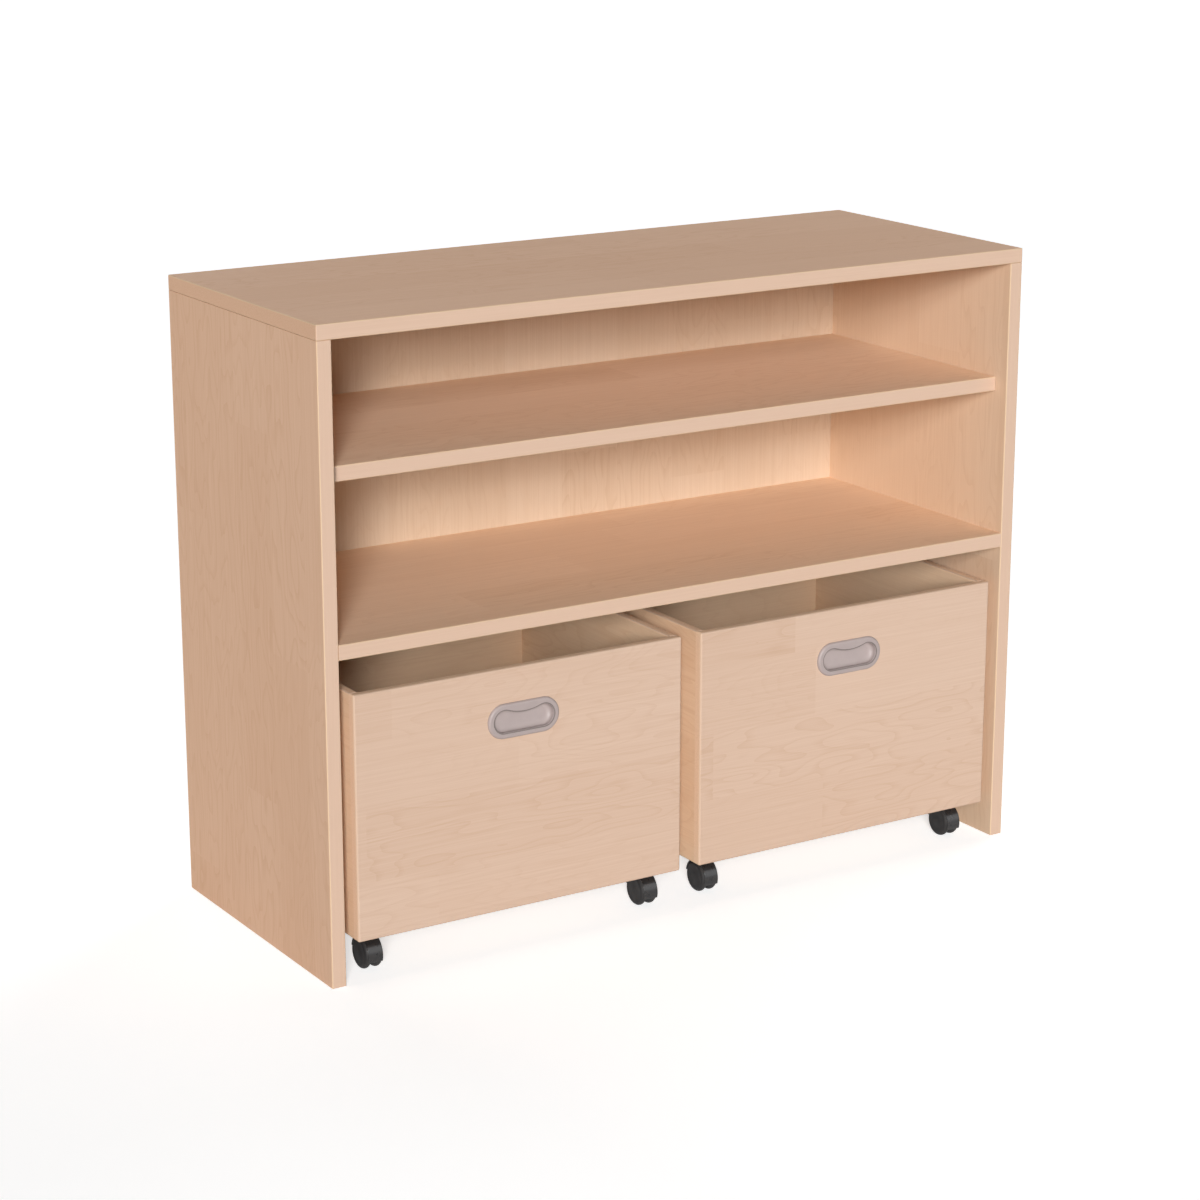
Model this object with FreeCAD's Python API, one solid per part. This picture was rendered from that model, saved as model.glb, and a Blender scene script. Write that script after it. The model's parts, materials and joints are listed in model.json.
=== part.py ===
import FreeCAD
import Part
import math
import os

Vector = FreeCAD.Vector
X_AXIS = Vector(1, 0, 0)
Y_AXIS = Vector(0, 1, 0)
Z_AXIS = Vector(0, 0, 1)

# All sizes are millimetres. X runs along the width, Y from the front to the back, Z up.
# The origin is the bottom centre of the whole object's box, the pulls included.

# Cabinet
cabinet_width = 1024.0
cabinet_depth = 400.0
cabinet_height = 804.0
board = 19.0
board_round = 1.5
lower_shelf_top = 425.0
upper_shelf_underside = 613.5
upper_shelf_setback = 23.0
upper_shelf_play = 0.5

# Cabinet back, held in grooves of the sides and the top
back_board = 8.0
back_inset = 8.0
back_groove = 8.0
back_groove_play = 0.5
back_groove_clear = 0.1
back_lift = 10.0

# Dowels of the cabinet
dowel_diameter = 8.0
dowel_length = 35.0
dowel_cover = 6.0
dowel_margin = 45.0
dowel_count = 3
dowel_clear = 0.1
dowel_spare = 1.0

# Pins under the upper shelf
pin_diameter = 5.0
pin_depth = 9.0
pin_clear = 0.05
pin_head_diameter = 8.0
pin_head_length = 8.0
pin_flat_rise = 2.5
pin_inset = 50.0

# Carts, and the gaps round them in the bay under the fixed shelf
cart_side_gap = 17.5
cart_between_gap = 29.0
cart_head_gap = 45.0
cart_board = 12.0
cart_round = 2.5
cart_stop_gap = 0.5

# Dowels of the carts
cart_dowel_diameter = 6.0
cart_dowel_length = 24.0
cart_dowel_cover = 3.0
cart_dowel_margin = 40.0
cart_dowel_rows = 3
cart_dowel_columns = 4

# Finger pull in each cart front
pull_length = 100.0
pull_height = 44.5
pull_proud = 4.0
pull_rim = 7.8
pull_drop = 66.0
pull_outer_round = 3.4
pull_inner_round = 2.4
lip_dip = 5.0
cup_wall = 1.5
cup_floor = 2.0
cup_set_in = 0.5
cup_clear = 0.3
cup_floor_round = 4.0

# Casters
wheel_diameter = 40.0
wheel_width = 9.0
wheel_gap = 6.0
axle_diameter = 5.0
axle_clear = 0.05
axle_press_clear = 0.02
axle_end_play = 0.3
wheel_face = 2.0
web = 4.0
web_boss_diameter = 11.0
hood_width = 20.0
hood_gap = 0.9
hood_wall = 1.7
hood_edge_round = 0.8
hood_head_gap = 6.4
hood_front_angle = -4.0
hood_rear_angle = 172.0
caster_trail = 15.0
caster_inset_x = 32.0
caster_inset_y = 55.5

# Swivel stem and its socket in the hood
stem_diameter = 8.0
stem_clear = 0.06
stem_length = 10.3
stem_end_play = 0.4
stem_groove_width = 2.0
stem_groove_depth = 0.5
stem_groove_rise = 2.4
bead_height = 0.4
bead_clear = 0.2
socket_diameter = 14.0
socket_top_gap = 0.7
socket_foot_rise = 6.0

# Plates that carry the stems, and their screws
plate = 36.0
plate_thickness = 2.0
plate_round = 4.0
screw_pitch = 26.0
screw_diameter = 3.0
screw_clear = 0.05
screw_hole_diameter = 4.0
screw_bite = 9.0
screw_head_diameter = 6.6
screw_head_height = 1.8
screw_head_chamfer = 0.6

# Places worked out from the sizes above
front = -cabinet_depth / 2 + pull_proud / 2
rear = front + cabinet_depth
half_width = cabinet_width / 2
inner_half = half_width - board
top_underside = cabinet_height - board
back_inner = rear - back_inset - back_board
cart_rear = back_inner - cart_stop_gap
cart_width = inner_half - cart_side_gap - cart_between_gap / 2
cart_pitch = cart_width + cart_between_gap
cart_top = lower_shelf_top - board - cart_head_gap
wheel_radius = wheel_diameter / 2
hood_inner = wheel_radius + hood_gap
hood_outer = hood_inner + hood_wall
plate_bottom = wheel_radius + hood_outer + hood_head_gap
cart_lift = plate_bottom + plate_thickness
pull_centre_z = cart_top - pull_drop


def box(x0, x1, y0, y1, z0, z1):
    return Part.makeBox(x1 - x0, y1 - y0, z1 - z0, Vector(x0, y0, z0))


def rod(diameter, length, base, axis):
    return Part.makeCylinder(diameter / 2, length, base, axis)


def spread(low, high, count, margin):
    step = (high - low - 2 * margin) / (count - 1)
    return [low + margin + step * i for i in range(count)]


# Edges of a box that lie at all the coordinates of one of the places.
def edges_at(shape, places):
    found = []
    for edge in shape.Edges:
        bounds = edge.BoundBox
        low = {"x": bounds.XMin, "y": bounds.YMin, "z": bounds.ZMin}
        high = {"x": bounds.XMax, "y": bounds.YMax, "z": bounds.ZMax}
        for place in places:
            gaps = [max(abs(low[k] - v), abs(high[k] - v)) for k, v in place.items()]
            if max(gaps) < 0.001:
                found.append(edge)
                break
    return found


def rounded(shape, radius, wall, places):
    limit = min(radius, 0.45 * wall)
    return shape.makeFillet(limit, edges_at(shape, places))


def cut_all(shape, tools):
    return shape.cut(tools) if tools else shape


def save(name, solids):
    shape = solids[0] if len(solids) == 1 else Part.makeCompound(solids)
    shape.exportStep("parts/" + name + ".step")


# One dowel across a joint plane and the two blind holes it needs.
# The point lies on the joint plane, and the axis points into the thinner board.
def dowel(point, axis, diameter, length, bite):
    start = point + axis * (bite - length)
    pin = rod(diameter, length, start, axis)
    hole_start = start - axis * dowel_spare
    hole = rod(diameter + 2 * dowel_clear, length + 2 * dowel_spare, hole_start, axis)
    return pin, hole


def dowels(points, axis, diameter, length, bite):
    pairs = [dowel(point, axis, diameter, length, bite) for point in points]
    return [pair[0] for pair in pairs], [pair[1] for pair in pairs]


# Cabinet

def top_panel(holes):
    panel = box(-half_width, half_width, front, rear, top_underside, cabinet_height)
    perimeter = [{"x": -half_width}, {"x": half_width}, {"y": front}, {"y": rear}]
    panel = rounded(panel, board_round, board, perimeter)
    reach = inner_half + back_groove
    groove = box(-reach, reach, back_inner - back_groove_clear,
                 back_inner + back_board + back_groove_clear,
                 top_underside, top_underside + back_groove)
    return cut_all(panel, [groove] + holes)


def side_panel(side, holes):
    outer = side * half_width
    inner = side * inner_half
    low, high = min(outer, inner), max(outer, inner)
    panel = box(low, high, front, rear, 0, top_underside)
    corners = [{"x": x, "y": y} for x in (low, high) for y in (front, rear)]
    panel = rounded(panel, board_round, board, corners)
    bottom = side * (inner_half + back_groove)
    groove = box(min(inner, bottom), max(inner, bottom), back_inner - back_groove_clear,
                 back_inner + back_board + back_groove_clear, 0, top_underside)
    return cut_all(panel, [groove] + holes)


def back_panel():
    reach = inner_half + back_groove - back_groove_play
    top = top_underside + back_groove - back_groove_play
    return box(-reach, reach, back_inner, back_inner + back_board, back_lift, top)


def fixed_shelf(holes):
    underside = lower_shelf_top - board
    shelf = box(-inner_half, inner_half, front, back_inner, underside, lower_shelf_top)
    nosing = [{"y": front, "z": underside}, {"y": front, "z": lower_shelf_top}]
    return cut_all(rounded(shelf, board_round, board, nosing), holes)


def upper_shelf():
    reach = inner_half - upper_shelf_play
    shelf_front = front + upper_shelf_setback
    top = upper_shelf_underside + board
    shelf = box(-reach, reach, shelf_front, back_inner - upper_shelf_play,
                upper_shelf_underside, top)
    nosing = [{"y": shelf_front, "z": upper_shelf_underside}, {"y": shelf_front, "z": top}]
    return rounded(shelf, board_round, board, nosing)


# A pin with a round head, flat on top where the shelf lies on it.
def shelf_pin(side, y):
    axis = X_AXIS * side
    seat = Vector(side * inner_half, y, upper_shelf_underside - pin_flat_rise)
    shank = rod(pin_diameter, pin_depth, seat, axis)
    head_start = seat - axis * pin_head_length
    head = rod(pin_head_diameter, pin_head_length, head_start, axis)
    above = box(-half_width, half_width, y - pin_head_diameter, y + pin_head_diameter,
                upper_shelf_underside, upper_shelf_underside + pin_head_diameter)
    hole = rod(pin_diameter + 2 * pin_clear, pin_depth + dowel_spare, seat, axis)
    return shank.fuse(head.cut(above)), hole


def build_cabinet():
    bite = board - dowel_cover
    joint_rows = spread(front, back_inner, dowel_count, dowel_margin)
    edge_middle = half_width - board / 2
    shelf_middle = lower_shelf_top - board / 2
    pin_rows = [front + upper_shelf_setback + pin_inset, back_inner - pin_inset]
    top_pins, top_holes, shelf_pins, shelf_holes, pins = [], [], [], [], []
    for side, name in ((-1, "left_side_panel"), (1, "right_side_panel")):
        points = [Vector(side * edge_middle, y, top_underside) for y in joint_rows]
        found, holes = dowels(points, Z_AXIS, dowel_diameter, dowel_length, bite)
        top_pins += found
        top_holes += holes
        points = [Vector(side * inner_half, y, shelf_middle) for y in joint_rows]
        found, more = dowels(points, X_AXIS * side, dowel_diameter, dowel_length, bite)
        shelf_pins += found
        shelf_holes += more
        seats = [shelf_pin(side, y) for y in pin_rows]
        pins += [seat[0] for seat in seats]
        save(name, [side_panel(side, holes + more + [seat[1] for seat in seats])])
    save("top_panel", [top_panel(top_holes)])
    save("back_panel", [back_panel()])
    save("fixed_shelf", [fixed_shelf(shelf_holes)])
    save("upper_shelf", [upper_shelf()])
    save("shelf_pins", pins)
    save("top_dowels", top_pins)
    save("shelf_dowels", shelf_pins)


# Carts

# A flat outline in the plane of a cart front, from its edges.
def face_at(edges, y):
    face = Part.Face(Part.Wire(edges))
    face.translate(Vector(0, y, 0))
    return face


def arc(start, middle, end):
    points = [Vector(p[0], 0, p[1]) for p in (start, middle, end)]
    return Part.Arc(*points).toShape()


def line(start, end):
    return Part.LineSegment(Vector(start[0], 0, start[1]), Vector(end[0], 0, end[1])).toShape()


# A slot with round ends, length along X and height along Z.
def slot_edges(x, z, length, height):
    radius = height / 2
    run = length / 2 - radius
    return [
        line((x - run, z - radius), (x + run, z - radius)),
        arc((x + run, z - radius), (x + run + radius, z), (x + run, z + radius)),
        line((x + run, z + radius), (x - run, z + radius)),
        arc((x - run, z + radius), (x - run - radius, z), (x - run, z - radius)),
    ]


# The same slot with its upper edge drawn down in the middle by one arc,
# which is tangent to both round ends.
def kidney_edges(x, z, length, height, dip):
    radius = height / 2
    run = length / 2 - radius
    low = radius - dip
    sweep = (run ** 2 + low ** 2 - radius ** 2) / (2 * dip)
    reach = radius / (radius + sweep)
    touch_x = run - run * reach
    touch_z = (low + sweep) * reach
    return [
        line((x - run, z - radius), (x + run, z - radius)),
        arc((x + run, z - radius), (x + run + radius, z), (x + touch_x, z + touch_z)),
        arc((x + touch_x, z + touch_z), (x, z + low), (x - touch_x, z + touch_z)),
        arc((x - touch_x, z + touch_z), (x - run - radius, z), (x - run, z - radius)),
    ]


def pocket_size():
    return pull_length - 2 * pull_rim, pull_height - 2 * pull_rim


# The rim stands proud of the front. Its upper lip hangs into the mouth of a rounded cup.
def finger_pull(x):
    z = pull_centre_z
    mouth_length, mouth_height = pocket_size()
    deep = cart_board - cup_set_in
    rim_front = front - pull_proud
    rim = face_at(slot_edges(x, z, pull_length, pull_height), rim_front)
    rim = rim.extrude(Y_AXIS * pull_proud)
    mouth = face_at(kidney_edges(x, z, mouth_length, mouth_height, lip_dip), rim_front)
    mouth = mouth.extrude(Y_AXIS * pull_proud)
    rim_limit = 0.9 * pull_proud
    outer = edges_at(rim, [{"y": rim_front}])
    rim = rim.makeFillet(min(pull_outer_round, rim_limit), outer)
    rim = rim.cut(mouth)
    inner = [edge for edge in edges_at(rim, [{"y": rim_front}]) if lies_on_mouth(edge, mouth)]
    rim = rim.makeFillet(min(pull_inner_round, rim_limit), inner)
    cup = face_at(slot_edges(x, z, mouth_length + 2 * cup_wall, mouth_height + 2 * cup_wall), front)
    cup = cup.extrude(Y_AXIS * deep)
    hollow = face_at(slot_edges(x, z, mouth_length, mouth_height), front)
    hollow = hollow.extrude(Y_AXIS * (deep - cup_floor))
    floor_limit = 0.9 * (deep - cup_floor)
    floor_edges = edges_at(hollow, [{"y": front + deep - cup_floor}])
    hollow = hollow.makeFillet(min(cup_floor_round, floor_limit), floor_edges)
    return rim.fuse(cup.cut(hollow)).removeSplitter()


def lies_on_mouth(edge, mouth):
    middle = edge.valueAt((edge.FirstParameter + edge.LastParameter) / 2)
    return mouth.distToShape(Part.Vertex(middle))[0] < 0.001


def pull_cut_out(x):
    grow = 2 * (cup_wall + cup_clear)
    length, height = [size + grow for size in pocket_size()]
    face = face_at(slot_edges(x, pull_centre_z, length, height), front)
    return face.extrude(Y_AXIS * cart_board)


def cart_front(x, holes):
    low, high = x - cart_width / 2, x + cart_width / 2
    inside = front + cart_board
    panel = box(low, high, front, inside, cart_lift, cart_top)
    places = [{"y": front}, {"y": inside, "z": cart_top}]
    places += [{"x": end, "z": z} for end in (low, high) for z in (cart_lift, cart_top)]
    panel = rounded(panel, cart_round, cart_board, places)
    return cut_all(panel, [pull_cut_out(x)] + holes)


def cart_back(x, holes):
    reach = cart_width / 2 - cart_board
    panel = box(x - reach, x + reach, cart_rear - cart_board, cart_rear, cart_lift, cart_top)
    places = [{"y": cart_rear, "z": cart_top}, {"y": cart_rear, "z": cart_lift}]
    places.append({"y": cart_rear - cart_board, "z": cart_top})
    return cut_all(rounded(panel, cart_round, cart_board, places), holes)


def cart_side(x, side, holes):
    outer = x + side * cart_width / 2
    inner = outer - side * cart_board
    panel = box(min(outer, inner), max(outer, inner), front + cart_board, cart_rear,
                cart_lift, cart_top)
    places = [{"x": outer, "z": cart_top}, {"x": inner, "z": cart_top}]
    places += [{"x": outer, "z": cart_lift}, {"x": outer, "y": cart_rear}]
    places += [{"y": cart_rear, "z": cart_top}, {"y": cart_rear, "z": cart_lift}]
    return cut_all(rounded(panel, cart_round, cart_board, places), holes)


def cart_bottom(x, holes):
    reach = cart_width / 2 - cart_board
    panel = box(x - reach, x + reach, front + cart_board, cart_rear - cart_board,
                cart_lift, cart_lift + cart_board)
    return cut_all(panel, holes)


def caster_places(x):
    places = []
    for row, y in (("front", front + caster_inset_y), ("rear", cart_rear - caster_inset_y)):
        for column, side in (("left", -1), ("right", 1)):
            stem_x = x + side * (cart_width / 2 - caster_inset_x)
            places.append((row + "_" + column, stem_x, y))
    return places


def plate_corners(stem_x, stem_y):
    half = screw_pitch / 2
    return [(stem_x + dx * half, stem_y + dy * half) for dx in (-1, 1) for dy in (-1, 1)]


def stem_profile(radius, groove_radius, foot, top):
    low = foot + stem_groove_rise
    high = low + stem_groove_width
    return [(0, foot), (radius, foot), (radius, low), (groove_radius, low),
            (groove_radius, high), (radius, high), (radius, top), (0, top)]


# Turns a closed outline of radius and height points about a vertical axis.
def turned(points, x, y):
    corners = [Vector(x + r, y, z) for r, z in points]
    face = Part.Face(Part.makePolygon(corners + corners[:1]))
    return face.revolve(Vector(x, y, 0), Z_AXIS, 360)


def caster_plate(x, y):
    half = plate / 2
    sheet = box(x - half, x + half, y - half, y + half, plate_bottom, cart_lift)
    corners = [{"x": x + dx * half, "y": y + dy * half} for dx in (-1, 1) for dy in (-1, 1)]
    sheet = rounded(sheet, plate_round, plate, corners)
    depth = plate_thickness
    holes = [rod(screw_hole_diameter, depth, Vector(hx, hy, plate_bottom), Z_AXIS)
             for hx, hy in plate_corners(x, y)]
    radius = stem_diameter / 2
    points = stem_profile(radius, radius - stem_groove_depth, plate_bottom - stem_length, plate_bottom)
    return sheet.cut(holes).fuse(turned(points, x, y))


def caster_screw(x, y):
    head = screw_head_diameter / 2
    shank = screw_diameter / 2
    foot = plate_bottom - screw_head_height
    points = [(0, foot), (head - screw_head_chamfer, foot), (head, foot + screw_head_chamfer),
              (head, plate_bottom), (shank, plate_bottom), (shank, cart_lift + screw_bite),
              (0, cart_lift + screw_bite)]
    return turned(points, x, y)


def screw_hole(x, y):
    return rod(screw_diameter + 2 * screw_clear, screw_bite + dowel_spare, Vector(x, y, cart_lift), Z_AXIS)


def build_cart(name, x):
    bite = cart_board - cart_dowel_cover
    peg = (cart_dowel_diameter, cart_dowel_length, bite)
    inside_front = front + cart_board
    inside_rear = cart_rear - cart_board
    heights = spread(cart_lift, cart_top, cart_dowel_rows, cart_dowel_margin)
    rows = spread(inside_front, inside_rear, cart_dowel_rows, cart_dowel_margin)
    reach = cart_width / 2 - cart_board
    columns = spread(x - reach, x + reach, cart_dowel_columns, cart_dowel_margin)
    middle = cart_lift + cart_board / 2
    points = [Vector(column, inside_front, middle) for column in columns]
    front_pegs, front_holes = dowels(points, -Y_AXIS, *peg)
    points = [Vector(column, inside_rear, middle) for column in columns]
    back_pegs, back_holes = dowels(points, Y_AXIS, *peg)
    pegs = front_pegs + back_pegs
    bottom_holes = front_holes + back_holes
    for side, side_name in ((-1, "left_side"), (1, "right_side")):
        edge = x + side * (cart_width - cart_board) / 2
        points = [Vector(edge, inside_front, z) for z in heights]
        first_pegs, first = dowels(points, -Y_AXIS, *peg)
        points = [Vector(x + side * reach, cart_rear - cart_board / 2, z) for z in heights]
        second_pegs, second = dowels(points, X_AXIS * side, *peg)
        points = [Vector(x + side * reach, y, middle) for y in rows]
        third_pegs, third = dowels(points, X_AXIS * side, *peg)
        front_holes = front_holes + first
        back_holes = back_holes + second
        bottom_holes = bottom_holes + third
        pegs += first_pegs + second_pegs + third_pegs
        save(name + "_" + side_name, [cart_side(x, side, first + second + third)])
    corners = []
    for place, stem_x, stem_y in caster_places(x):
        corners += plate_corners(stem_x, stem_y)
    bottom_holes = bottom_holes + [screw_hole(cx, cy) for cx, cy in corners]
    save(name + "_front", [cart_front(x, front_holes)])
    save(name + "_back", [cart_back(x, back_holes)])
    save(name + "_bottom", [cart_bottom(x, bottom_holes)])
    save(name + "_pull", [finger_pull(x)])
    save(name + "_dowels", pegs)
    save(name + "_caster_plates", [caster_plate(sx, sy) for place, sx, sy in caster_places(x)])
    save(name + "_caster_screws", [caster_screw(cx, cy) for cx, cy in corners])
    for place, stem_x, stem_y in caster_places(x):
        build_caster(name + "_" + place + "_caster", stem_x, stem_y)


# Casters. At rest each one trails towards the front, as after a push into the cabinet.

def rim_point(x, y, radius, degrees):
    angle = math.radians(degrees)
    return Vector(x, y - radius * math.cos(angle), wheel_radius + radius * math.sin(angle))


# A part of a ring about the axle, from the front angle over the top to the rear angle.
def ring_part(x, y, inner, outer, width):
    start, end = hood_front_angle, hood_rear_angle
    middle = (start + end) / 2
    left = x - width / 2
    edges = [
        Part.Arc(*[rim_point(left, y, outer, a) for a in (start, middle, end)]).toShape(),
        Part.LineSegment(rim_point(left, y, outer, end), rim_point(left, y, inner, end)).toShape(),
    ]
    if inner > 0:
        edges.append(Part.Arc(*[rim_point(left, y, inner, a) for a in (end, middle, start)]).toShape())
    edges.append(Part.LineSegment(rim_point(left, y, inner, start),
                                  rim_point(left, y, outer, start)).toShape())
    return Part.Face(Part.Wire(edges)).extrude(X_AXIS * width)


def caster_hood(x, stem_y):
    y = stem_y - caster_trail
    cover = ring_part(x, y, hood_inner, hood_outer, hood_width)
    edges = [edge for edge in cover.Edges if is_outer_arc(edge)]
    cover = cover.makeFillet(min(hood_edge_round, 0.45 * hood_wall), edges)
    rib = ring_part(x, y, 0, hood_inner + hood_wall / 2, web)
    left = Vector(x - web / 2, y, wheel_radius)
    rib = rib.fuse(rod(web_boss_diameter, web, left, X_AXIS))
    socket_top = plate_bottom - socket_top_gap
    socket_foot = wheel_radius + socket_foot_rise
    socket = rod(socket_diameter, socket_top - socket_foot, Vector(x, stem_y, socket_foot), Z_AXIS)
    wheel_room = rod(2 * hood_inner, 2 * hood_width, Vector(x - hood_width, y, wheel_radius), X_AXIS)
    body = cover.fuse([socket.cut(wheel_room), rib])
    radius = stem_diameter / 2
    bore = radius + stem_clear
    foot = plate_bottom - stem_length
    low = foot + stem_groove_rise + bead_clear
    high = foot + stem_groove_rise + stem_groove_width - bead_clear
    bead = bore - bead_height
    points = [(0, foot - stem_end_play), (bore, foot - stem_end_play), (bore, low), (bead, low),
              (bead, high), (bore, high), (bore, socket_top), (0, socket_top)]
    axle_hole = rod(axle_diameter + 2 * axle_press_clear, web, left, X_AXIS)
    return body.cut([turned(points, x, stem_y), axle_hole]).removeSplitter()


def is_outer_arc(edge):
    if not isinstance(edge.Curve, Part.Circle):
        return False
    return abs(edge.Curve.Radius - hood_outer) < 0.001


def axle_half_length():
    return wheel_gap / 2 + wheel_width - wheel_face - axle_end_play


def caster_axle(x, stem_y):
    half = axle_half_length()
    start = Vector(x - half, stem_y - caster_trail, wheel_radius)
    return rod(axle_diameter, 2 * half, start, X_AXIS)


# A wheel with a full round tread, a closed outer face and a blind hub bore.
def caster_wheel(x, stem_y, side):
    y = stem_y - caster_trail
    inner = wheel_gap / 2
    outer = inner + wheel_width
    bore = axle_diameter / 2 + axle_clear
    deep = outer - wheel_face
    tread = wheel_width / 2

    def at(offset, radius):
        return Vector(x + side * offset, y, wheel_radius + radius)

    rim = wheel_radius - tread
    edges = [
        Part.LineSegment(at(outer, 0), at(outer, rim)).toShape(),
        Part.Arc(at(outer, rim), at(inner + tread, wheel_radius), at(inner, rim)).toShape(),
        Part.LineSegment(at(inner, rim), at(inner, bore)).toShape(),
        Part.LineSegment(at(inner, bore), at(deep, bore)).toShape(),
        Part.LineSegment(at(deep, bore), at(deep, 0)).toShape(),
        Part.LineSegment(at(deep, 0), at(outer, 0)).toShape(),
    ]
    face = Part.Face(Part.Wire(edges))
    return face.revolve(Vector(x, y, wheel_radius), X_AXIS, 360)


def build_caster(name, stem_x, stem_y):
    save(name + "_hood", [caster_hood(stem_x, stem_y)])
    save(name + "_axle", [caster_axle(stem_x, stem_y)])
    save(name + "_left_wheel", [caster_wheel(stem_x, stem_y, -1)])
    save(name + "_right_wheel", [caster_wheel(stem_x, stem_y, 1)])


os.makedirs("parts", exist_ok=True)
build_cabinet()
build_cart("left_cart", -cart_pitch / 2)
build_cart("right_cart", cart_pitch / 2)
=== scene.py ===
import json
import math

import bmesh
import bpy
import numpy as np
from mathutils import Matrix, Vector


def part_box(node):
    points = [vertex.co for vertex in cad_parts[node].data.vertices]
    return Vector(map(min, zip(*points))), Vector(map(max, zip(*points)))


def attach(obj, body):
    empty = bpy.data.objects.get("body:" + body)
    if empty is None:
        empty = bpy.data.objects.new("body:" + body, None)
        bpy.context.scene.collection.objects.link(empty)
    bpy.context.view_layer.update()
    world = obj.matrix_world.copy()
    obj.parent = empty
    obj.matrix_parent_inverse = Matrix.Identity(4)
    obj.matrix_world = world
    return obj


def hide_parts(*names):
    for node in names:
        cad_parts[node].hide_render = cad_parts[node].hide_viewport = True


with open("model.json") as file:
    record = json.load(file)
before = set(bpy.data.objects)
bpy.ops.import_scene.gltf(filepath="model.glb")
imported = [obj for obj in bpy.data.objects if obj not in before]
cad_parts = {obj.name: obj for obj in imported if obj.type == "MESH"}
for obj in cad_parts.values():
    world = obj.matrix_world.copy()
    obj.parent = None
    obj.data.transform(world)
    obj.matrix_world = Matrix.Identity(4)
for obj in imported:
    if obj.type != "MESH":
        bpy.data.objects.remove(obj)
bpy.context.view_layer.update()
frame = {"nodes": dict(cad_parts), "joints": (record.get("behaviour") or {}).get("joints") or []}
nodes = frame["nodes"]
joints = {joint["name"]: joint for joint in frame["joints"]}
carts = ("left_cart", "right_cart")
mm = 0.001
print("frame loaded:", len(nodes), "nodes")


# Shared helpers

meshing = {"mergeReach": 1e-6, "sharpAngle": 32}
noiseSpan = (0.3, 0.7)  # most values of a noise texture lie in here


def hexToLinear(code):
    # sRGB hex to the linear colour that a shader socket takes
    parts = [int(code[i:i + 2], 16) / 255 for i in (1, 3, 5)]
    return [c / 12.92 if c <= 0.04045 else ((c + 0.055) / 1.055) ** 2.4 for c in parts] + [1.0]


def setInputs(tree, node, inputs):
    # a socket is linked, and anything else becomes the input's own value
    for key, value in inputs.items():
        if isinstance(value, bpy.types.NodeSocket):
            tree.links.new(value, node.inputs[key])
        else:
            node.inputs[key].default_value = value


def addNode(tree, kind, inputs=None, **settings):
    # one node with its settings, its values and its links
    node = tree.nodes.new(kind)
    for key, value in settings.items():
        setattr(node, key, value)
    setInputs(tree, node, inputs or {})
    return node


def newMaterial(name):
    material = bpy.data.materials.new(name)
    material.use_nodes = True
    return material, material.node_tree, material.node_tree.nodes["Principled BSDF"]


def dress(thing, material):
    thing.data.materials.clear()
    thing.data.materials.append(material)


def gridFaces(rows, columns, closedRows, closedColumns):
    # quads between neighbouring grid points, wrapped round where a direction is closed
    row = np.arange(rows if closedRows else rows - 1)
    column = np.arange(columns if closedColumns else columns - 1)
    row, column = np.meshgrid(row, column, indexing="ij")
    nextRow, nextColumn = (row + 1) % rows, (column + 1) % columns
    corners = [row * columns + column, row * columns + nextColumn,
               nextRow * columns + nextColumn, nextRow * columns + column]
    return np.stack(corners, -1).reshape(-1, 4)


def makePiece(name, surfaces, material, dustAndShade=None):
    # joins parameter surfaces into one mesh, merges their poles and turns all faces outwards; the last
    # argument is a share from 0 to 1 for each grid point, which the material may read: real dust on the
    # wheels' treads, and painted shade on the pulls' mouths
    points, faces, count = [], [], 0
    for grid, closedRows, closedColumns in surfaces:
        rows, columns = grid.shape[:2]
        faces.append(gridFaces(rows, columns, closedRows, closedColumns) + count)
        points.append(grid.reshape(-1, 3))
        count += rows * columns
    mesh = bpy.data.meshes.new(name)
    mesh.from_pydata(np.concatenate(points).tolist(), [], np.concatenate(faces).tolist())
    if dustAndShade is not None:
        layer = mesh.attributes.new("dustAndShade", "FLOAT", "POINT")
        layer.data.foreach_set("value", dustAndShade.astype(np.float32).ravel())
    shape = bmesh.new()
    shape.from_mesh(mesh)
    bmesh.ops.remove_doubles(shape, verts=shape.verts, dist=meshing["mergeReach"])
    bmesh.ops.recalc_face_normals(shape, faces=shape.faces)
    shape.to_mesh(mesh)
    shape.free()
    mesh.polygons.foreach_set("use_smooth", np.ones(len(mesh.polygons), bool))
    mesh.set_sharp_from_angle(angle=math.radians(meshing["sharpAngle"]))
    piece = bpy.data.objects.new(name, mesh)
    bpy.context.scene.collection.objects.link(piece)
    dress(piece, material)
    return piece


def seat(piece, body, node):
    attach(piece, body)
    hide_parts(node)


def arcPoints(centre, radius, start, end, steps):
    # points of a circle from one angle in degrees to another
    angle = np.radians(np.linspace(start, end, steps))
    return np.stack([centre[0] + radius * np.cos(angle), centre[1] + radius * np.sin(angle)], -1)
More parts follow.
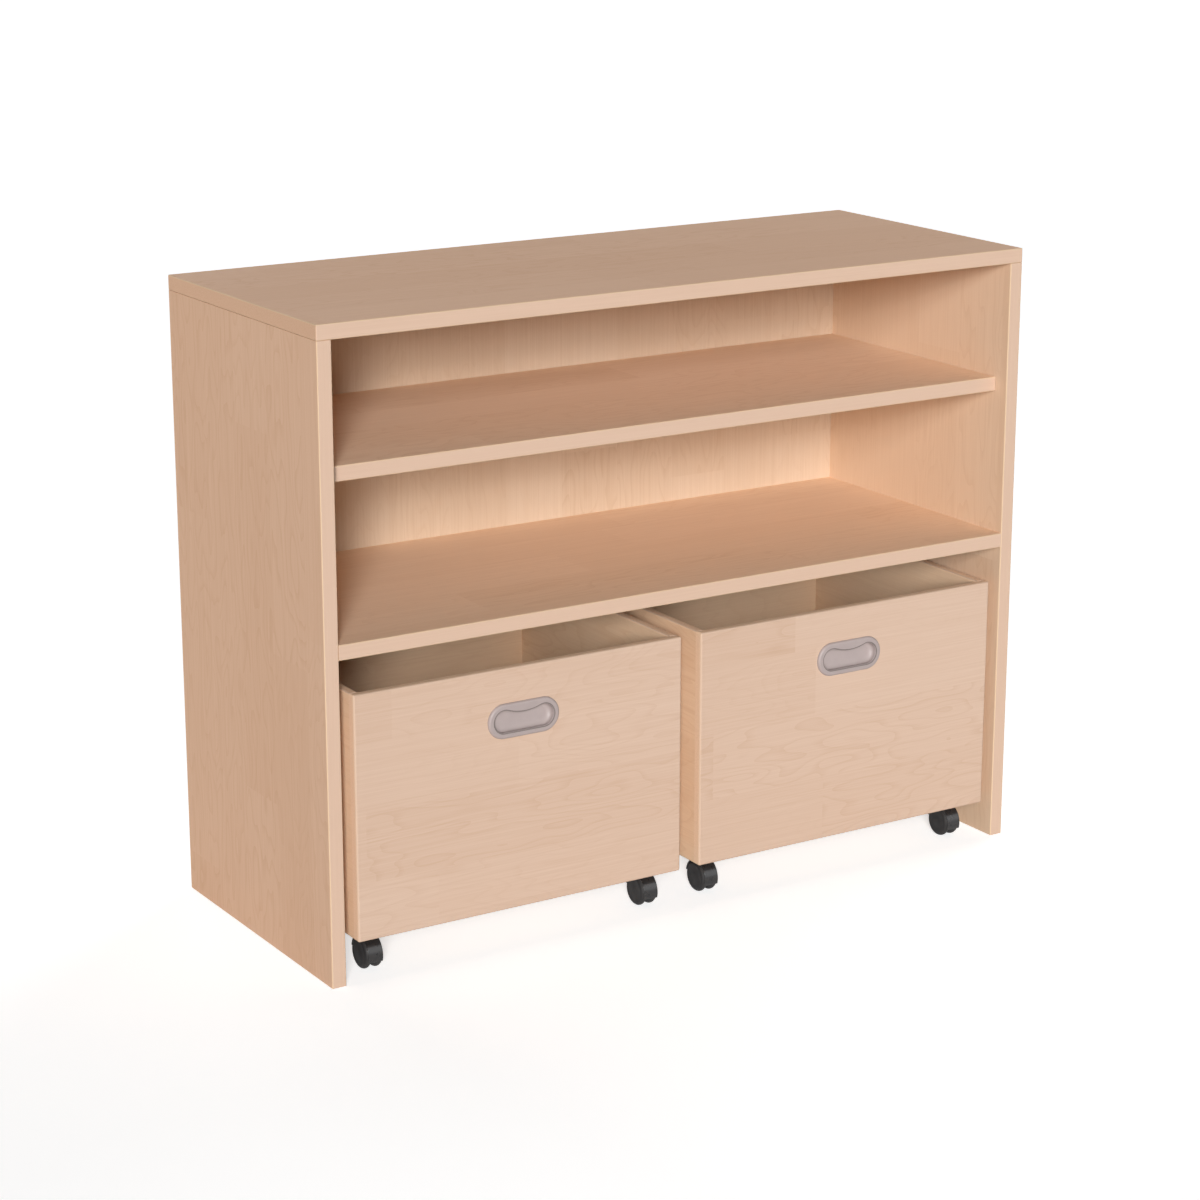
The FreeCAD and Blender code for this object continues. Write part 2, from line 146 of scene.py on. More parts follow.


# Maple-decor melamine board: a printed paper under hard clear resin.
# The eye gets a low-contrast print of glued maple staves, each with its own nested growth rings and tone,
# over fine straight fibres, and a satin sheen. Edges that look to the front or the rear are given a plain
# pale tone, a painted highlight taken from the washed-out look of brightly lit front edges, and the other
# edges look much as the faces do.
maple = {
    # the decors are copies of one maple print, each toned for how the lamps light its boards, lighter on the
    # shelves and paler on the cart fronts: painted light and shade
    "decors": {
        # light tone, dark tone, decor of the edges without the pale front tone, painted highlight along the
        # rounded borders
        "outer": ("#E7C2A6", "#D3A684", "outer", "#DEC2A1"),
        "inner": ("#E7CBB0", "#D3B090", "inner", "#DEC2A1"),
        "shelf": ("#F8DABE", "#E1BC9B", "inner", "#DEC2A1"),
        "rear": ("#E0CAB3", "#CCAF92", "inner", "#DEC2A1"),
        "front": ("#DABFAB", "#C6A389", "shelf", "#D5B8A0"),
        "cart": ("#EFD0B0", "#DBB490", "shelf", "#D5B8A0"),
    },
    # pale tone of edges that look to the front or the rear: a painted highlight, the washed-out look of
    # brightly lit front edges
    "highlightEdge": ("#DCBEA8", "#D4B49D"),
    # how much a surface still looks the board's way where it counts as an edge, or as a rounded border
    "edgeTurn": (0.2, 0.35), "roundTurn": (0.7, 0.95),
    "stripMm": 88, "staveMm": 460, "stripShift": 0.37, "fibreShift": 5.3, "figureSpread": 40.0,
    # length and width in mm, and detail
    "figure": (270, 60, 2.0), "fibre": (150, 1.7, 4.0), "pore": (26, 1.2, 2.0),
    "rings": 15, "ringStart": 0.62,
    "middle": 0.66, "ringDepth": -0.27, "staveDepth": 0.22, "fibreDepth": 0.72,
    "bump": (0.12, 0.15),  # strength, and height in mm
    "roughness": (0.6, 0.75), "ior": 1.5, "specular": 0.08,
}
boards = [
    # node, decor, grain direction, direction across the board's faces
    ("top_panel", "outer", "x", "z"),
    ("left_side_panel", "outer", "z", "x"),
    ("right_side_panel", "inner", "z", "x"),
    ("back_panel", "rear", "z", "y"),
    ("fixed_shelf", "shelf", "x", "z"),
    ("upper_shelf", "shelf", "x", "z"),
]
for cart in carts:
    boards += [
        (cart + "_front", "front", "x", "y"),
        (cart + "_back", "cart", "x", "y"),
        (cart + "_bottom", "cart", "x", "z"),
        (cart + "_left_side", "cart", "y", "x"),
        (cart + "_right_side", "cart", "y", "x"),
    ]


def mapleMelamine(name, decor, grain, across, seed):
    material, tree, shader = newMaterial(name)
    light, dark, edgeDecor, roundHighlight = maple["decors"][decor]
    place = addNode(tree, "ShaderNodeTexCoord").outputs["Object"]
    split = addNode(tree, "ShaderNodeSeparateXYZ", {0: place}).outputs
    beside = "xyz".replace(grain, "").replace(across, "")
    along, wide = split["xyz".index(grain)], split["xyz".index(beside)]

    # strips side by side, each cut into staves that start at a place of their own
    strip = addNode(tree, "ShaderNodeMath",
                    {0: wide, 1: 1 / mm / maple["stripMm"], 2: maple["stripShift"] * seed},
                    operation="MULTIPLY_ADD").outputs[0]
    stripNumber = addNode(tree, "ShaderNodeMath", {0: strip}, operation="FLOOR").outputs[0]
    start = addNode(tree, "ShaderNodeTexWhiteNoise", {"W": stripNumber}, noise_dimensions="1D").outputs[0]
    stave = addNode(tree, "ShaderNodeMath", {0: along, 1: 1 / mm / maple["staveMm"], 2: start},
                    operation="MULTIPLY_ADD").outputs[0]
    staveNumber = addNode(tree, "ShaderNodeMath", {0: stave}, operation="FLOOR").outputs[0]
    label = addNode(tree, "ShaderNodeCombineXYZ", {0: stripNumber, 1: staveNumber, 2: float(seed)}).outputs[0]
    chance = addNode(tree, "ShaderNodeTexWhiteNoise", {"Vector": label}, noise_dimensions="3D").outputs[1]
    label = addNode(tree, "ShaderNodeVectorMath", {0: chance, 1: [maple["figureSpread"]] * 3},
                    operation="MULTIPLY").outputs[0]
    chance = addNode(tree, "ShaderNodeSeparateColor", {0: chance}).outputs
    field = {}
    offsets = {"figure": label, "fibre": [maple["fibreShift"] * seed] * 3, "pore": [0.0] * 3}
    for layer, offset in offsets.items():
        length, width, detail = maple[layer]
        stretch = [1 / mm / (length if axis == grain else width) for axis in "xyz"]
        scaled = addNode(tree, "ShaderNodeVectorMath", {0: place, 1: stretch, 2: offset},
                         operation="MULTIPLY_ADD").outputs[0]
        field[layer] = addNode(tree, "ShaderNodeTexNoise",
                               {"Vector": scaled, "Scale": 1.0, "Detail": detail}).outputs[0]

    # growth rings are the contour lines of a field drawn out along the grain; each darkens towards its end
    count = addNode(tree, "ShaderNodeMath", {0: field["figure"], 1: maple["rings"]},
                    operation="MULTIPLY").outputs[0]
    count = addNode(tree, "ShaderNodeMath", {0: count}, operation="FRACT").outputs[0]
    late = addNode(tree, "ShaderNodeMapRange", {0: count, 1: maple["ringStart"], 2: 1.0}).outputs[0]
    rings = addNode(tree, "ShaderNodeMath", {0: late, 1: chance[0]}, operation="MULTIPLY").outputs[0]
    tone = maple["middle"] - maple["staveDepth"] / 2 - maple["fibreDepth"] / 2
    for socket, depth in ((rings, "ringDepth"), (chance[2], "staveDepth"), (field["fibre"], "fibreDepth")):
        tone = addNode(tree, "ShaderNodeMath", {0: socket, 1: maple[depth], 2: tone},
                       operation="MULTIPLY_ADD").outputs[0]
    face = addNode(tree, "ShaderNodeMix", {0: tone, 6: hexToLinear(dark), 7: hexToLinear(light)},
                   data_type="RGBA").outputs[2]

    # faces, edges and rounded borders are told apart by where the surface looks; the rounded borders get a
    # paler line, a painted highlight
    normal = addNode(tree, "ShaderNodeNewGeometry").outputs["Normal"]
    turned = addNode(tree, "ShaderNodeVectorMath", {0: normal}, operation="ABSOLUTE").outputs[0]
    turned = addNode(tree, "ShaderNodeSeparateXYZ", {0: turned}).outputs
    facing = turned["xyz".index(across)]
    edges = []
    for light, dark in (maple["decors"][edgeDecor][:2], maple["highlightEdge"]):
        tones = {0: field["fibre"], 6: hexToLinear(dark), 7: hexToLinear(light)}
        edges.append(addNode(tree, "ShaderNodeMix", tones, data_type="RGBA").outputs[2])
    # edges that look to the front or the rear take the pale tone: painted highlight
    edge = addNode(tree, "ShaderNodeMix", {0: turned[1], 6: edges[0], 7: edges[1]},
                   data_type="RGBA").outputs[2]
    low, high = maple["edgeTurn"]
    onEdge = addNode(tree, "ShaderNodeMapRange", {0: facing, 1: low, 2: high, 3: 1.0, 4: 0.0}).outputs[0]
    # rounded borders take a paler line: painted highlight
    low, high = maple["roundTurn"]
    onRound = addNode(tree, "ShaderNodeMapRange", {0: facing, 1: low, 2: high, 3: 1.0, 4: 0.0}).outputs[0]
    border = addNode(tree, "ShaderNodeMix", {0: onRound, 6: face, 7: hexToLinear(roundHighlight)},
                     data_type="RGBA").outputs[2]
    colour = addNode(tree, "ShaderNodeMix", {0: onEdge, 6: border, 7: edge}, data_type="RGBA").outputs[2]

    satin, dull = maple["roughness"]
    rough = addNode(tree, "ShaderNodeMapRange",
                    {0: field["fibre"], 1: noiseSpan[0], 2: noiseSpan[1], 3: satin, 4: dull}).outputs[0]
    strength, height = maple["bump"]
    bump = addNode(tree, "ShaderNodeBump",
                   {"Height": field["pore"], "Strength": strength, "Distance": height * mm}).outputs[0]
    setInputs(tree, shader, {"Base Color": colour, "Roughness": rough, "Normal": bump, "IOR": maple["ior"],
                             "Specular IOR Level": maple["specular"]})
    return material


for seed, (node, *look) in enumerate(boards):
    dress(nodes[node], mapleMelamine("maple_melamine_" + node, *look, seed + 1))
print("boards:", len(boards))


# Small metal pieces: zinc-plated steel, bright grey with faint cloudy crystals from the plating bath
zinc = {
    "bright": "#C9CCCF", "dull": "#A3A7AB", "crystalMm": 1.8, "hazeMm": 6, "hazeDetail": 3.0,
    "crystalSpan": (0.0, 0.6), "roughness": (0.28, 0.45),
}


def zincPlatedSteel():
    material, tree, shader = newMaterial("zinc_plated_steel")
    place = addNode(tree, "ShaderNodeTexCoord").outputs["Object"]
    crystals = addNode(tree, "ShaderNodeTexVoronoi",
                       {"Vector": place, "Scale": 1 / (zinc["crystalMm"] * mm)}).outputs[0]
    haze = addNode(tree, "ShaderNodeTexNoise", {"Vector": place, "Scale": 1 / (zinc["hazeMm"] * mm),
                                                "Detail": zinc["hazeDetail"]}).outputs[0]
    colour = addNode(tree, "ShaderNodeMix",
                     {0: haze, 6: hexToLinear(zinc["dull"]), 7: hexToLinear(zinc["bright"])},
                     data_type="RGBA").outputs[2]
    low, high = zinc["crystalSpan"]
    smooth, matt = zinc["roughness"]
    rough = addNode(tree, "ShaderNodeMapRange", {0: crystals, 1: low, 2: high, 3: smooth, 4: matt}).outputs[0]
    setInputs(tree, shader, {"Base Color": colour, "Roughness": rough, "Metallic": 1.0})
    return material


# Dowels: turned beech, pale and dry, with short darker rays
beech = {"light": "#DDB98F", "dark": "#C39A6C", "rayMm": (6, 0.9), "rayDetail": 2.0, "roughness": 0.7}


def turnedBeech():
    material, tree, shader = newMaterial("turned_beech")
    place = addNode(tree, "ShaderNodeTexCoord").outputs["Object"]
    along, wide = beech["rayMm"]
    scaled = addNode(tree, "ShaderNodeVectorMath",
                     {0: place, 1: [1 / mm / along, 1 / mm / wide, 1 / mm / wide]},
                     operation="MULTIPLY").outputs[0]
    rays = addNode(tree, "ShaderNodeTexNoise",
                   {"Vector": scaled, "Scale": 1.0, "Detail": beech["rayDetail"]}).outputs[0]
    colour = addNode(tree, "ShaderNodeMix",
                     {0: rays, 6: hexToLinear(beech["dark"]), 7: hexToLinear(beech["light"])},
                     data_type="RGBA").outputs[2]
    setInputs(tree, shader, {"Base Color": colour, "Roughness": beech["roughness"]})
    return material


steel = zincPlatedSteel()
dowelWood = turnedBeech()
for name, thing in nodes.items():
    if name.endswith(("_plates", "_screws", "_axle", "_pins")):
        dress(thing, steel)
    elif name.endswith("dowels"):
        dress(thing, dowelWood)
print("metal and dowels dressed")


# Finger pull: warm grey ABS, moulded with a fine spark texture that kills the gloss.
# A dark colour on the narrow ledge at its mouth is painted shade: it draws a dark line round the pocket.
pull = {
    # 766C68 is the painted shade on the mouth's ledge
    "colour": "#AEA09D", "shade": "#A29491", "dustAndShade": "#766C68", "cloudMm": 18, "cloudDetail": 3.0,
    "sparkMm": 0.9, "sparkDetail": 2.0, "bump": (0.15, 0.1), "roughness": (0.42, 0.56), "ior": 1.53,
    # shape in mm
    "length": 100, "height": 44.5, "proud": 4, "rim": 8.2, "outerRound": 3.4, "innerRound": 0.5,
    "ledge": (1.6, 0.4),  # width, and drop below the rim
    "lipDip": 5, "lipGap": 0.01, "wall": 1.5, "depth": 11.5, "backRound": 1,
    "floor": 2, "floorRound": 8, "floorShare": 0.85, "floorRise": 5.5,
    # divisions
    "lines": 40, "arcs": 36, "backSteps": 5, "outerSteps": 12, "innerSteps": 5, "floorSteps": 12,
    "shadedRings": 3,
}


def mouldedGreyPlastic():
    material, tree, shader = newMaterial("moulded_grey_abs")
    place = addNode(tree, "ShaderNodeTexCoord").outputs["Object"]
    cloud = addNode(tree, "ShaderNodeTexNoise", {"Vector": place, "Scale": 1 / (pull["cloudMm"] * mm),
                                                 "Detail": pull["cloudDetail"]}).outputs[0]
    spark = addNode(tree, "ShaderNodeTexNoise", {"Vector": place, "Scale": 1 / (pull["sparkMm"] * mm),
                                                 "Detail": pull["sparkDetail"]}).outputs[0]
    colour = addNode(tree, "ShaderNodeMix",
                     {0: cloud, 6: hexToLinear(pull["shade"]), 7: hexToLinear(pull["colour"])},
                     data_type="RGBA").outputs[2]
    # painted shade: where the attribute is 1, on the mouth's ledge, the colour turns dark
    dustAndShade = addNode(tree, "ShaderNodeAttribute", attribute_name="dustAndShade").outputs["Fac"]
    colour = addNode(tree, "ShaderNodeMix", {0: dustAndShade, 6: colour, 7: hexToLinear(pull["dustAndShade"])},
                     data_type="RGBA").outputs[2]
    smooth, matt = pull["roughness"]
    rough = addNode(tree, "ShaderNodeMapRange",
                    {0: spark, 1: noiseSpan[0], 2: noiseSpan[1], 3: smooth, 4: matt}).outputs[0]
    strength, height = pull["bump"]
    bump = addNode(tree, "ShaderNodeBump",
                   {"Height": spark, "Strength": strength, "Distance": height * mm}).outputs[0]
    setInputs(tree, shader, {"Base Color": colour, "Roughness": rough, "Normal": bump, "IOR": pull["ior"]})
    return material


def drawnIn(size, inset):
    # an outline's length and height, drawn in by as much on every side
    return size[0] - 2 * inset, size[1] - 2 * inset


def slotOutline(length, height):
    # a straight run, a half circle, the run back and the other half circle
    radius = height / 2
    run = length / 2 - radius
    lower = np.stack([np.linspace(-run, run, pull["lines"]), np.full(pull["lines"], -radius)], -1)
    right = arcPoints((run, 0), radius, -90, 90, pull["arcs"])[1:-1]
    left = arcPoints((-run, 0), radius, 90, 270, pull["arcs"])[1:-1]
    return np.concatenate([lower, right, -lower, left])


def kidneyOutline(length, height):
    # the slot with its upper run drawn down by one large arc, tangent to both round ends
    radius, dip = height / 2, pull["lipDip"]
    run = length / 2 - radius
    low = radius - dip
    sweep = (run ** 2 + low ** 2 - radius ** 2) / (2 * dip)
    touch = math.degrees(math.atan2(low + sweep, -run))  # from the right end's centre to the touching point
    half = math.degrees(math.asin(run / (radius + sweep)))
    lower = np.stack([np.linspace(-run, run, pull["lines"]), np.full(pull["lines"], -radius)], -1)
    right = arcPoints((run, 0), radius, -90, touch, pull["arcs"])[1:-1]
    upper = arcPoints((0, low + sweep), sweep, -90 + half, -90 - half, pull["lines"])
    left = arcPoints((-run, 0), radius, 180 - touch, 270, pull["arcs"])[1:-1]
    return np.concatenate([lower, right, upper, left])


def pullRings():
    # outline rings from the middle of the cup's back, over the proud rim and its ledge into the pocket; each
    # is an outline in X and Z with its depth behind the cart's front, in mm. The pocket is a scoop: a quarter
    # of an ellipse leads from the wall to a floor that slopes forward towards its lower edge.
    outer = pull["length"], pull["height"]
    mouth = drawnIn(outer, pull["rim"])
    cup = drawnIn(mouth, -pull["wall"])
    depth, proud = pull["depth"], pull["proud"]
    rings = [(slotOutline(*drawnIn(cup, cup[1] / 2)), depth)]
    bend = pull["backRound"]
    for inset, back in arcPoints((bend, bend), bend, 270, 180, pull["backSteps"]):
        rings.append((slotOutline(*drawnIn(cup, inset)), depth - back))
    rings.append((slotOutline(*cup), 0.0))
    rings.append((slotOutline(*outer), 0.0))
    bend = pull["outerRound"]
    for inset, rise in arcPoints((bend, proud - bend), bend, 180, 90, pull["outerSteps"]):
        rings.append((slotOutline(*drawnIn(outer, inset)), -rise))
    ledge, drop = pull["ledge"]
    rings.append((kidneyOutline(*drawnIn(mouth, -ledge)), -proud))
    # the first rings of the mouth's ledge get the painted shade
    dustedAndShaded = slice(len(rings), len(rings) + pull["shadedRings"])
    proud -= drop
    rings.append((kidneyOutline(*drawnIn(mouth, -ledge)), -proud))
    bend = pull["innerRound"]
    for grow, rise in arcPoints((bend, proud - bend), bend, 90, 180, pull["innerSteps"]):
        rings.append((kidneyOutline(*drawnIn(mouth, -grow)), -rise))
    rings.append((kidneyOutline(*mouth), 0.0))
    rings.append((slotOutline(*mouth), pull["lipGap"]))
    scoop = arcPoints((1, 1), 1, 180, 270, pull["floorSteps"]) * (pull["floorRound"], pull["floorShare"])
    for inset, share in [*scoop, (mouth[1] / 2, 0.0)]:
        ring = slotOutline(*drawnIn(mouth, inset))
        slope = pull["floorRise"] * (0.5 - ring[:, 1] / mouth[1])
        rings.append((ring, (depth - pull["floor"] - slope) * (1 - share)))
    return rings, dustedAndShaded


greyPlastic = mouldedGreyPlastic()
rings, dustedAndShaded = pullRings()
for cart in carts:
    low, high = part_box(cart + "_pull")
    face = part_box(cart + "_front")[0].y
    middle = (low + high) / 2
    grid = np.stack([np.stack([middle.x + ring[:, 0] * mm, face + (back + 0 * ring[:, 1]) * mm,
                               middle.z + ring[:, 1] * mm], -1) for ring, back in rings])
    # painted shade on the ledge's rings, none elsewhere
    dustAndShade = np.zeros(grid.shape[:2])
    dustAndShade[dustedAndShaded] = 1.0
    piece = makePiece(cart + "_finger_pull", [(grid, False, True)], greyPlastic, dustAndShade)
    seat(piece, cart, cart + "_pull")
print("finger pulls made")


# Casters: black glass-filled nylon. The hood is moulded half bright, and the treads are rubbed satin and a
# little dusty.
caster = {
    "black": "#201F20", "sheen": "#272627", "dustAndShade": "#32302E", "cloudMm": 9, "cloudDetail": 4.0,
    "grainMm": 1.2, "grainDetail": 2.0, "bump": (0.08, 0.1), "ior": 1.53,
    "hoodRoughness": (0.24, 0.34), "hoodSpecular": 0.42, "wheelRoughness": (0.55, 0.7), "wheelSpecular": 0.3,
    # wheel in mm
    "wheelRadius": 20, "wheelInner": 3, "wheelOuter": 12, "hub": 5.6, "hubFlat": 0.6, "faceBevel": 0.1,
    "dish": 0.2, "dishFoot": 0.7, "dishRim": (2.4, 1.4, 0.7), "bore": 2.55, "boreEnd": 10, "boreBevel": 0.4,
    "backFlat": 4, "dustFrom": 17.5, "dustOver": 2.5,
    # hood, web and stem socket in mm, angles in degrees
    "hoodWidth": 20, "hoodInner": 20.9, "hoodOuter": 22.6, "hoodEdge": 0.7, "bead": 0.3, "beadWidth": 1.4,
    "hoodFrom": -18, "hoodTo": 172, "endCrown": 0.8, "endShare": 0.7,
    "web": 4, "webSink": 0.8, "webRound": 0.3, "webRadius": 15, "webBevel": 0.5, "axleHole": 2.52,
    "socket": 7, "socketTop": 48.3, "socketFoot": 26, "socketRound": 0.8, "stemHole": 4.06, "stemEnd": 38.3,
    # divisions
    "turnSteps": 96, "treadSteps": 28, "hoodSteps": 80, "topSteps": 42, "cornerSteps": 6, "socketSteps": 64,
    "footSteps": 8,
}


def mouldedBlackNylon(name, part, dustedAndShaded):
    material, tree, shader = newMaterial(name)
    place = addNode(tree, "ShaderNodeTexCoord").outputs["Object"]
    cloud = addNode(tree, "ShaderNodeTexNoise", {"Vector": place, "Scale": 1 / (caster["cloudMm"] * mm),
                                                 "Detail": caster["cloudDetail"]}).outputs[0]
    grain = addNode(tree, "ShaderNodeTexNoise", {"Vector": place, "Scale": 1 / (caster["grainMm"] * mm),
                                                 "Detail": caster["grainDetail"]}).outputs[0]
    colour = addNode(tree, "ShaderNodeMix",
                     {0: cloud, 6: hexToLinear(caster["black"]), 7: hexToLinear(caster["sheen"])},
                     data_type="RGBA").outputs[2]
    if dustedAndShaded:
        dustAndShade = addNode(tree, "ShaderNodeAttribute", attribute_name="dustAndShade").outputs["Fac"]
        amount = addNode(tree, "ShaderNodeMath", {0: dustAndShade, 1: cloud}, operation="MULTIPLY").outputs[0]
        colour = addNode(tree, "ShaderNodeMix", {0: amount, 6: colour, 7: hexToLinear(caster["dustAndShade"])},
                         data_type="RGBA").outputs[2]
    smooth, matt = caster[part + "Roughness"]
    rough = addNode(tree, "ShaderNodeMapRange",
                    {0: cloud, 1: noiseSpan[0], 2: noiseSpan[1], 3: smooth, 4: matt}).outputs[0]
    strength, height = caster["bump"]
    bump = addNode(tree, "ShaderNodeBump",
                   {"Height": grain, "Strength": strength, "Distance": height * mm}).outputs[0]
    setInputs(tree, shader, {"Base Color": colour, "Roughness": rough, "Normal": bump, "IOR": caster["ior"],
                             "Specular IOR Level": caster[part + "Specular"]})
    return material


def turnedOnAxle(profile, centre):
    # a profile of offsets along X and radii, turned about the axle; rows follow the profile
    angle = np.linspace(0, 2 * math.pi, caster["turnSteps"], endpoint=False)
    offset, radius = profile[:, :1], profile[:, 1:]
    grid = [np.broadcast_to(centre.x + offset * mm, (len(profile), len(angle))),
            centre.y + radius * np.cos(angle) * mm, centre.z + radius * np.sin(angle) * mm]
    return np.stack(grid, -1)


def sweptOverWheels(loop, centre):
    # a closed loop of offsets along X and radii, carried about the axle from the front over the top to the
    # rear; both ends shrink to the loop's middle, which closes them with a slight crown
    middle, share, crown = loop.mean(0), caster["endShare"], caster["endCrown"]
    shrink = np.concatenate([[0.0, share], np.ones(caster["hoodSteps"]), [share, 0.0]])
    angle = np.linspace(caster["hoodFrom"], caster["hoodTo"], caster["hoodSteps"])
    angle = np.concatenate([[angle[0] - crown] * 2, angle, [angle[-1] + crown] * 2])
    turn = np.radians(angle)[:, None]
    shape = middle + (loop - middle) * shrink[:, None, None]
    grid = [centre.x + shape[..., 0] * mm, centre.y - shape[..., 1] * np.cos(turn) * mm,
            centre.z + shape[..., 1] * np.sin(turn) * mm]
    return np.stack(grid, -1)


def roundedLoop(halfWidth, low, high, radius):
    # a rectangle of offsets and radii with four round corners
    corners = [(halfWidth - radius, high - radius, 0), (radius - halfWidth, high - radius, 90),
               (radius - halfWidth, low + radius, 180), (halfWidth - radius, low + radius, 270)]
    return np.concatenate([arcPoints((x, r), radius, start, start + 90, caster["cornerSteps"])
                           for x, r, start in corners])


def hoodLoop():
    # the hood's section: a thin rounded strip, finely divided on top, with a low bead along both edges
    half, high, edge = caster["hoodWidth"] / 2, caster["hoodOuter"], caster["hoodEdge"]
    loop = roundedLoop(half, caster["hoodInner"], high, edge)
    across = np.linspace(half - edge, edge - half, caster["topSteps"])[1:-1]
    top = np.stack([across, np.full(len(across), high)], -1)
    loop = np.concatenate([loop[:caster["cornerSteps"]], top, loop[caster["cornerSteps"]:]])
    fromEdge = half - np.abs(loop[:, 0])
    rise = caster["bead"] * np.cos(np.clip(fromEdge / caster["beadWidth"], 0, 1) * math.pi / 2) ** 2
    loop[:, 1] += np.where(loop[:, 1] > high - edge, rise, 0)
    return loop


def webDisc():
    # a flat disc between the wheels: a closed profile of offsets and radii with bevelled borders
    half, edge, bevel = caster["web"] / 2, caster["webRadius"], caster["webBevel"]
    left = np.array([(-half, caster["axleHole"]), (-half, edge - bevel), (bevel - half, edge)])
    return np.concatenate([left, left[::-1] * (-1, 1)])


def stemSocket(stem, axle):
    # rings about the stem: a foot that clears the wheels, the outside, the round top and down the bore
    angle = np.linspace(0, 2 * math.pi, caster["socketSteps"], endpoint=False)
    top, outer, bend = caster["socketTop"], caster["socket"], caster["socketRound"]
    hole, end = caster["stemHole"], caster["stemEnd"]
    reach = (stem.y - axle.y) / mm
    rings = []
    for radius in np.linspace(0, outer, caster["footSteps"]):
        away = reach + radius * np.sin(angle)
        room = np.sqrt(np.clip(caster["hoodInner"] ** 2 - away ** 2, 0, None))
        rings.append((radius, np.maximum(caster["socketFoot"], axle.z / mm + room)))
    crown = arcPoints((outer - bend, top - bend), bend, 0, 90, caster["cornerSteps"])
    for radius, height in [*crown, (hole, top), (hole, end), (0, end)]:
        rings.append((radius, np.full(len(angle), height)))
    grid = [np.stack([stem.x + radius * np.cos(angle) * mm, stem.y + radius * np.sin(angle) * mm,
                      height * mm], -1) for radius, height in rings]
    return np.stack(grid)


def wheelProfile(side):
    # from the middle of the outer face: hub, shallow dish, full round tread, inner face and blind bore
    inner, outer, bevel = caster["wheelInner"], caster["wheelOuter"], caster["faceBevel"]
    tread = (outer - inner) / 2
    rim = caster["wheelRadius"] - tread
    hub, low = caster["hub"], outer - caster["dish"]
    foot, slope, crest = caster["dishRim"]
    face = [(outer, 0), (outer, hub - caster["hubFlat"]), (outer - bevel, hub),
            (low, hub + caster["dishFoot"]), (low, rim - foot), (outer - bevel, rim - slope),
            (outer, rim - crest)]
    treadArc = arcPoints((inner + tread, rim), tread, 0, 180, caster["treadSteps"])
    bore, end, bevel = caster["bore"], caster["boreEnd"], caster["boreBevel"]
    back = [(inner, bore + caster["backFlat"]), (inner, bore + bevel), (inner + bevel, bore),
            (end, bore), (end, 0)]
    return np.concatenate([face, treadArc, back]) * (side, 1)


hoodPlastic = mouldedBlackNylon("moulded_black_nylon", "hood", False)
wheelPlastic = mouldedBlackNylon("rubbed_black_nylon", "wheel", True)
webLoop = roundedLoop(caster["web"] / 2, 0.0, caster["hoodInner"] + caster["webSink"], caster["webRound"])
for cart in carts:
    for corner in ("front_left", "front_right", "rear_left", "rear_right"):
        name = cart + "_" + corner + "_caster"
        stem = Vector(joints[name + "_swivel"]["pos_m"])
        low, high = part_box(name + "_axle")
        axle = (low + high) / 2
        surfaces = [
            (sweptOverWheels(hoodLoop(), axle), False, True),
            (sweptOverWheels(webLoop, axle), False, True),
            (turnedOnAxle(webDisc(), axle), True, True),
            (stemSocket(stem, axle), False, True),
        ]
        piece = makePiece(name + "_moulded_hood", surfaces, hoodPlastic)
        seat(piece, name, name + "_hood")
        for end, side in (("left", -1), ("right", 1)):
            wheel = name + "_" + end + "_wheel"
            profile = wheelProfile(side)
            grid = turnedOnAxle(profile, axle)
            dustAndShade = np.clip((profile[:, 1:] - caster["dustFrom"]) / caster["dustOver"], 0, 1)
            dustAndShade = np.broadcast_to(dustAndShade, grid.shape[:2])
            piece = makePiece(wheel + "_turned", [(grid, False, True)], wheelPlastic, dustAndShade)
            seat(piece, wheel, wheel)
print("casters made")


# Stage: a pale floor, a white surround, a tall soft box beside the camera made of two lamps, two weak lamps
# behind and a strip that only gloss shows
stage = {"floor": "#E6E6E6", "floorHalf": 40.0, "floorDrop": 0.0004, "floorLift": 0.61, "surround": 0.05}
lamps = [
    # name, azimuth and height in degrees, level, spread in degrees, whether it lights more than gloss
    ("soft_box_low", (-33, 13), 0.57, 11, True),
    ("soft_box_high", (-30, 21), 0.485, 11, True),
    ("rear_lamp", (115, 23), 0.36, 30, True),
    ("rear_fill", (172, 8), 0.34, 30, True),
    ("gloss_strip", (31, 22), 0.18, 40, False),
]


def skyDirection(azimuth, elevation):
    # where a lamp stands, seen from the object: azimuth 0 is in front, positive to the right
    a, e = math.radians(azimuth), math.radians(elevation)
    return Vector((math.sin(a) * math.cos(e), -math.cos(a) * math.cos(e), math.sin(e)))


def addSun(name, place, level, spread, lights):
    lamp = bpy.data.lights.new(name, "SUN")
    lamp.energy = level * math.pi
    lamp.angle = math.radians(spread)
    thing = bpy.data.objects.new(name, lamp)
    thing.rotation_euler = (-skyDirection(*place)).to_track_quat("-Z", "Y").to_euler()
    thing.visible_diffuse = lights
    bpy.context.scene.collection.objects.link(thing)


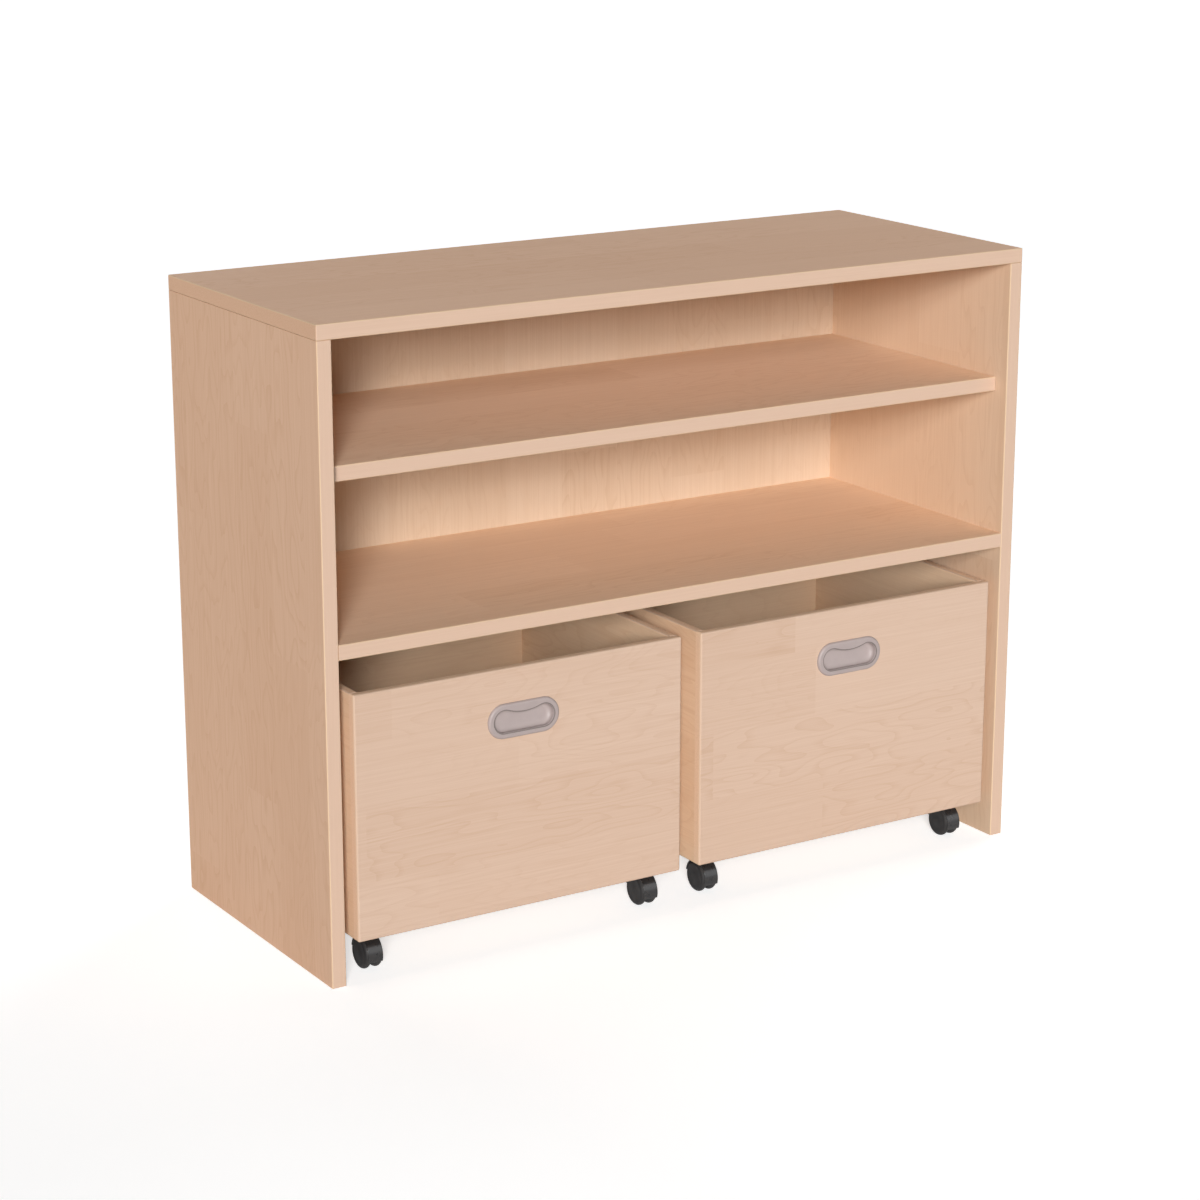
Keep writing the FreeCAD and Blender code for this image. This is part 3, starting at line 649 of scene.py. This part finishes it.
def paleFloor():
    # camera and mirror rays get a lift towards white, and the object's shadow stays
    material, tree, shader = newMaterial("pale_floor")
    tree.nodes.remove(shader)
    rays = addNode(tree, "ShaderNodeLightPath").outputs
    seen = addNode(tree, "ShaderNodeMath", {0: rays["Is Camera Ray"], 1: rays["Is Glossy Ray"]},
                   operation="MAXIMUM").outputs[0]
    lift = addNode(tree, "ShaderNodeMath", {0: seen, 1: stage["floorLift"]}, operation="MULTIPLY").outputs[0]
    glow = addNode(tree, "ShaderNodeEmission", {"Strength": lift}).outputs[0]
    matt = addNode(tree, "ShaderNodeBsdfDiffuse", {"Color": hexToLinear(stage["floor"])}).outputs[0]
    both = addNode(tree, "ShaderNodeAddShader", {0: matt, 1: glow}).outputs[0]
    setInputs(tree, tree.nodes["Material Output"], {"Surface": both})
    return material


def whiteSurround():
    # white to camera, mirror and glass rays, and a weak fill to all others
    world = bpy.data.worlds.new("white_studio")
    world.use_nodes = True
    tree = world.node_tree
    rays = addNode(tree, "ShaderNodeLightPath").outputs
    seen = rays["Is Camera Ray"]
    for kind in ("Is Glossy Ray", "Is Transmission Ray"):
        seen = addNode(tree, "ShaderNodeMath", {0: seen, 1: rays[kind]}, operation="MAXIMUM").outputs[0]
    level = addNode(tree, "ShaderNodeMapRange", {0: seen, 3: stage["surround"], 4: 1.0}).outputs[0]
    setInputs(tree, tree.nodes["Background"], {"Color": (1, 1, 1, 1), "Strength": level})
    return world


span = np.array([-stage["floorHalf"], stage["floorHalf"]])
across, back = np.meshgrid(span, span, indexing="ij")
floorGrid = np.stack([across, back, np.full_like(across, -stage["floorDrop"])], -1)
floor = makePiece("floor", [(floorGrid[:, ::-1], False, False)], paleFloor())
for lamp in lamps:
    addSun(*lamp)
bpy.context.scene.world = whiteSurround()
bpy.context.scene.view_settings.view_transform = "Standard"

# Camera at the photograph's angle: from the front left, a little above the top
view = {"place": (-2.0414, -3.2360, 1.4322), "azimuth": 32.11, "tilt": 15.66, "lens": 91.57, "sensor": 36}
camera = bpy.data.cameras.new("camera")
camera.lens = view["lens"]
camera.sensor_width = view["sensor"]
eye = bpy.data.objects.new("camera", camera)
eye.location = view["place"]
eye.rotation_euler = (math.radians(90 - view["tilt"]), 0, math.radians(-view["azimuth"]))
bpy.context.scene.collection.objects.link(eye)
bpy.context.scene.camera = eye
print("stage, lamps and camera set")
